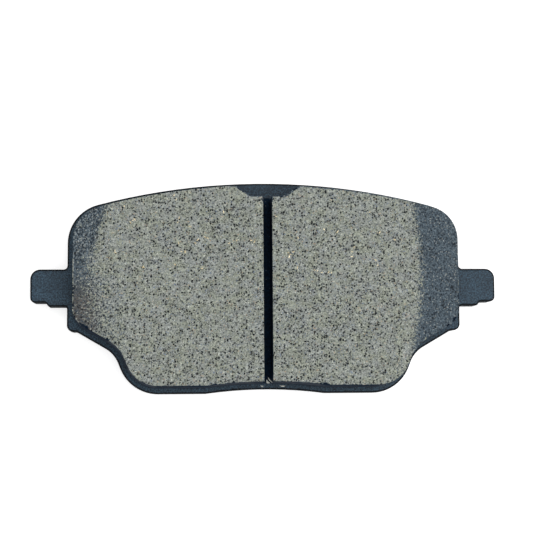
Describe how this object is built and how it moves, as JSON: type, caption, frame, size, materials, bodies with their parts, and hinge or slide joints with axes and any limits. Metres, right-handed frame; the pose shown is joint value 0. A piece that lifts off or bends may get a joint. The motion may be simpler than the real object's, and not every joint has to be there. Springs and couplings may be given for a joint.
{
  "type": "brake pad",
  "caption": "Disc brake pad: steel backing plate with guide ears, slotted friction block with chamfered ends, and a layered noise shim on its back.",
  "frame": {"origin": "midway along the pad's length and height, on the outer face of the noise shim", "axes": "+Z out of the friction face, towards the disc; +Y away from the wheel's axis; +X along the pad, over its ears"},
  "size_m": [0.1072, 0.0485, 0.0173],
  "materials": {
    "plate_powder_coat": "satin",
    "bond_film": "matte",
    "underlayer": "matte",
    "friction_compound": "matte",
    "shim_adhesive": "matte",
    "shim_rubber": "matte",
    "shim_steel": "satin"
  },
  "bodies": {
    "root": {"backing_plate": "plate_powder_coat", "bond_film": "bond_film", "underlayer": "underlayer", "friction_block": "friction_compound", "shim_adhesive": "shim_adhesive", "shim_inner_rubber": "shim_rubber", "shim_steel": "shim_steel", "shim_outer_rubber": "shim_rubber"}
  },
  "joints": []
}
